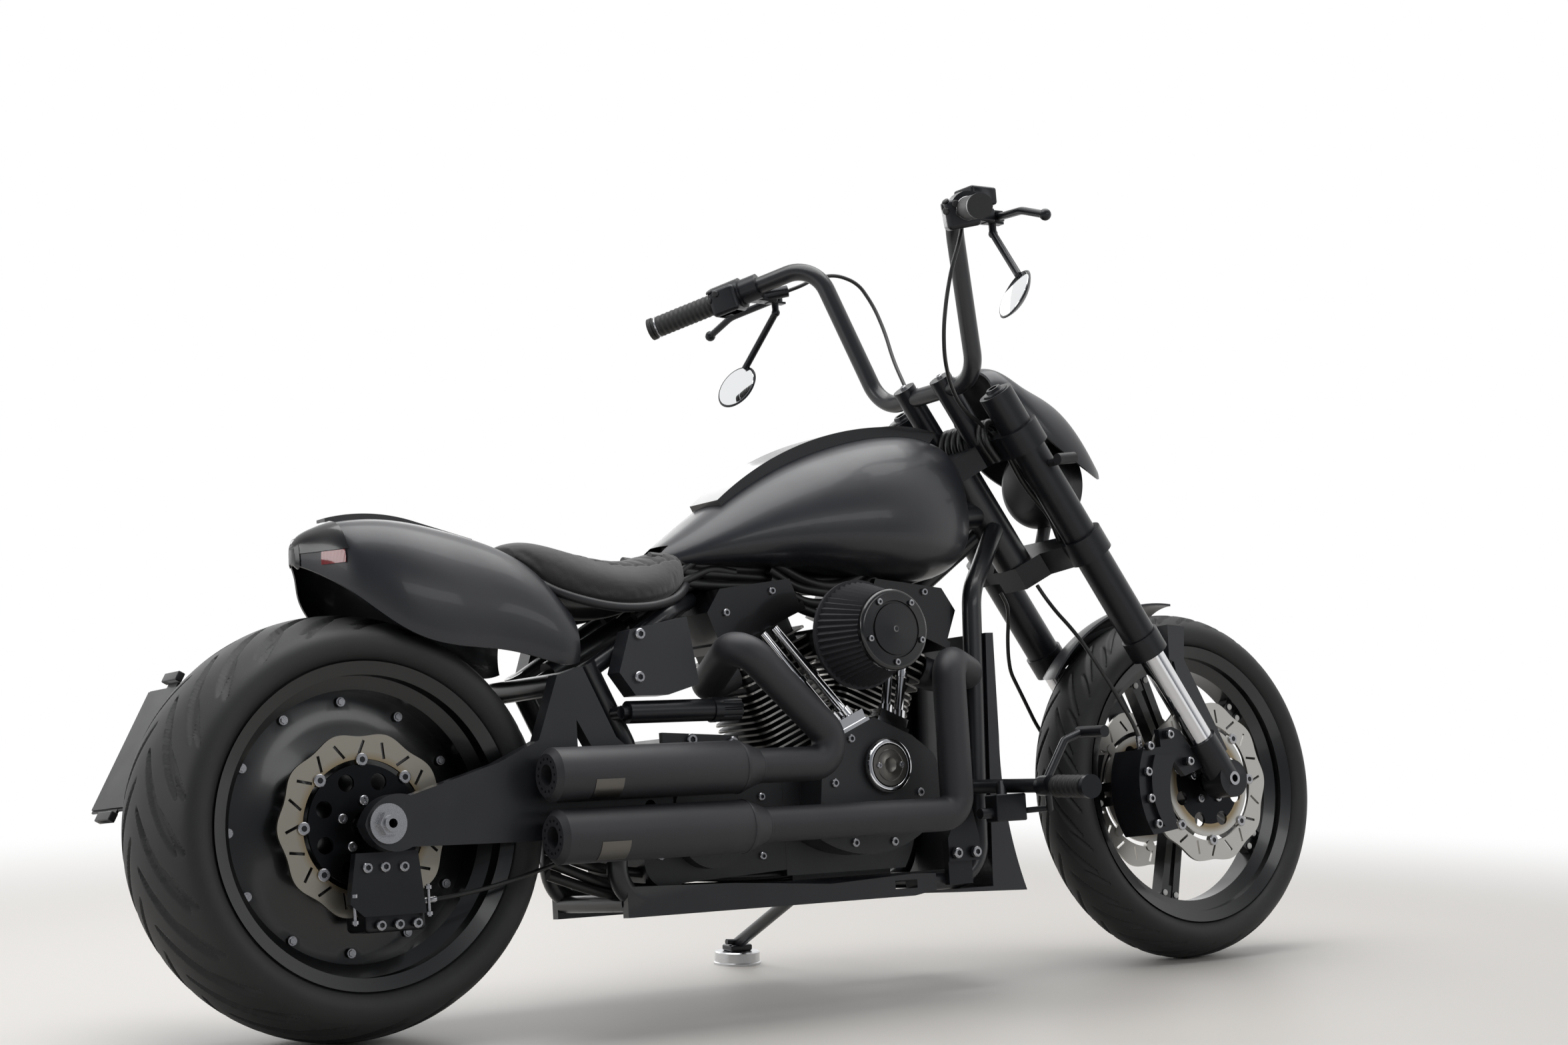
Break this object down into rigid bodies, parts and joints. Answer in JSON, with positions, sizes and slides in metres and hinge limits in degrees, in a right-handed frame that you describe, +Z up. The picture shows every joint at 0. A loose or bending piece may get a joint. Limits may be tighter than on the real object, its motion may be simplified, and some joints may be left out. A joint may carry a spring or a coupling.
{
  "type": "chopper motorcycle",
  "caption": "Long low V-twin chopper motorcycle with tall handlebar, wide rear tyre and forward foot controls, leaning on its side stand.",
  "frame": {"origin": "on the floor under the middle of the bounding box", "axes": "+X forward, +Y to the motorcycle's left, +Z up"},
  "size_m": [2.3537, 0.9913, 1.3686],
  "materials": {
    "black_paint": "satin",
    "satin_black_paint": "satin",
    "gloss_black": "gloss",
    "black_powder_coat": "matte",
    "black_heat_coat": "matte",
    "black_anodised": "satin",
    "black_fin_aluminium": "satin",
    "black_rim": "satin",
    "black_plastic": "matte",
    "zinc_steel": "brushed",
    "disc_steel": "brushed",
    "chrome": "polished",
    "turned_aluminium": "turned",
    "tyre_rubber": "matte",
    "belt_rubber": "matte",
    "grip_rubber": "matte",
    "hose_rubber": "satin",
    "filter_cloth": "matte",
    "black_leather": "matte",
    "red_lens": "gloss"
  },
  "bodies": {
    "chassis": {"frame": "black_paint", "swingarm": "black_paint", "rear_axle": "zinc_steel", "rear_shock": "black_paint", "preload_adjuster": "black_anodised", "drive_belt": "belt_rubber", "rear_caliper": "black_anodised", "engine_case": "black_powder_coat", "gearbox_case": "black_powder_coat", "cam_cover": "black_powder_coat", "cylinders": "black_fin_aluminium", "rocker_covers": "gloss_black", "pushrod_tubes": "chrome", "intake": "black_powder_coat", "air_filter": "filter_cloth", "filter_cover": "gloss_black", "primary_cover": "black_powder_coat", "exhaust_pipes": "black_heat_coat", "mufflers": "black_heat_coat", "fuel_tank": "satin_black_paint", "tank_console": "gloss_black", "seat": "black_leather", "rear_fender": "satin_black_paint", "tail_cap": "gloss_black", "tail_lights": "red_lens", "side_covers": "satin_black_paint", "chin_spoiler": "satin_black_paint", "foot_controls": "black_anodised", "plate_holder": "black_plastic", "rear_brake_hose": "hose_rubber"},
    "rear_wheel": {"rear_tyre": "tyre_rubber", "rear_rim": "black_rim", "rear_disc": "disc_steel", "rear_pulley": "black_anodised"},
    "steering": {"triple_clamps": "black_anodised", "fork_outer_tubes": "black_anodised", "fork_inner_tubes": "chrome", "fork_feet": "black_anodised", "front_axle": "zinc_steel", "front_fender": "satin_black_paint", "handlebar": "black_powder_coat", "grips": "grip_rubber", "hand_controls": "black_anodised", "levers": "black_anodised", "mirrors": "black_anodised", "headlight": "black_plastic", "headlight_cowl": "satin_black_paint", "indicators": "black_plastic", "front_calipers": "black_anodised", "front_brake_hoses": "hose_rubber", "clutch_cable": "hose_rubber", "bar_brake_hose": "hose_rubber"},
    "front_wheel": {"front_tyre": "tyre_rubber", "front_rim": "black_rim", "front_discs": "disc_steel"},
    "side_stand": {"stand_leg": "black_paint", "stand_puck": "turned_aluminium"}
  },
  "joints": [
    {"name": "steering", "type": "hinge", "parent": "chassis", "child": "steering", "pos_m": [0.4446, -0.0377, 0.8243], "axis": [-0.5584, 0.0913, 0.8245], "range_deg": [-35.4, 28.6]},
    {"name": "front_wheel_spin", "type": "hinge", "parent": "steering", "child": "front_wheel", "pos_m": [0.8582, -0.0904, 0.3168], "axis": [-0.0493, 0.9885, -0.1428], "continuous": true},
    {"name": "rear_wheel_spin", "type": "hinge", "parent": "chassis", "child": "rear_wheel", "pos_m": [-0.8517, -0.0932, 0.3245], "axis": [-0.0001, 0.9939, -0.1101], "continuous": true},
    {"name": "side_stand_swing", "type": "hinge", "parent": "chassis", "child": "side_stand", "pos_m": [0.1031, 0.0297, 0.1621], "axis": [-0.0993, 0.4982, 0.8613], "range_deg": [0, 85]}
  ]
}
